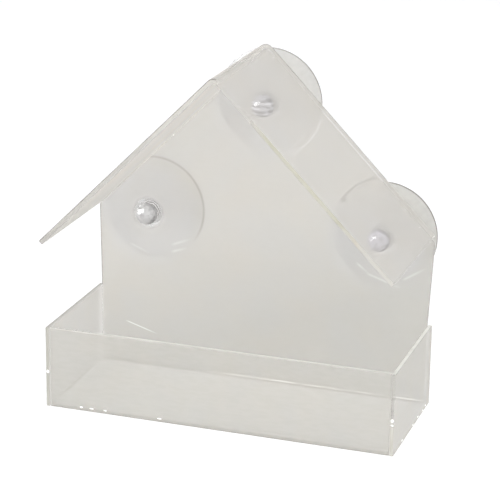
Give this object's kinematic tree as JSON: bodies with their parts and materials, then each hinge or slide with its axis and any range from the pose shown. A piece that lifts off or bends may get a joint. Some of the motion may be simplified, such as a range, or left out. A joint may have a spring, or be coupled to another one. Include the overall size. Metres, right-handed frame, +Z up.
{
  "type": "window bird feeder",
  "caption": "Clear house-shaped window bird feeder with a bent gable roof, an open seed tray and suction cups that turn in the back panel.",
  "frame": {"origin": "under the middle of the feeder's bounding box, on the surface that its tray stands on", "axes": "+Y points at the window pane, +Z is up, and +X is to the right seen from the front"},
  "size_m": [0.15, 0.0724, 0.1485],
  "materials": {
    "acrylic": "clear polished sheet",
    "soft_pvc": "clear soft moulded plastic"
  },
  "bodies": {
    "house": {"back_panel": "acrylic", "roof": "acrylic", "tray_floor": "acrylic", "tray_front_wall": "acrylic", "tray_left_end": "acrylic", "tray_right_end": "acrylic"},
    "top_cup": {"top_suction_cup": "soft_pvc"},
    "left_cup": {"left_suction_cup": "soft_pvc"},
    "right_cup": {"right_suction_cup": "soft_pvc"}
  },
  "joints": [
    {"name": "top_cup_turn", "type": "hinge", "parent": "house", "child": "top_cup", "pos_m": [0, 0.02785, 0.123], "axis": [0, 1, 0], "continuous": true},
    {"name": "left_cup_turn", "type": "hinge", "parent": "house", "child": "left_cup", "pos_m": [-0.0514, 0.02785, 0.0705], "axis": [0, 1, 0], "continuous": true},
    {"name": "right_cup_turn", "type": "hinge", "parent": "house", "child": "right_cup", "pos_m": [0.0514, 0.02785, 0.0705], "axis": [0, 1, 0], "continuous": true}
  ]
}
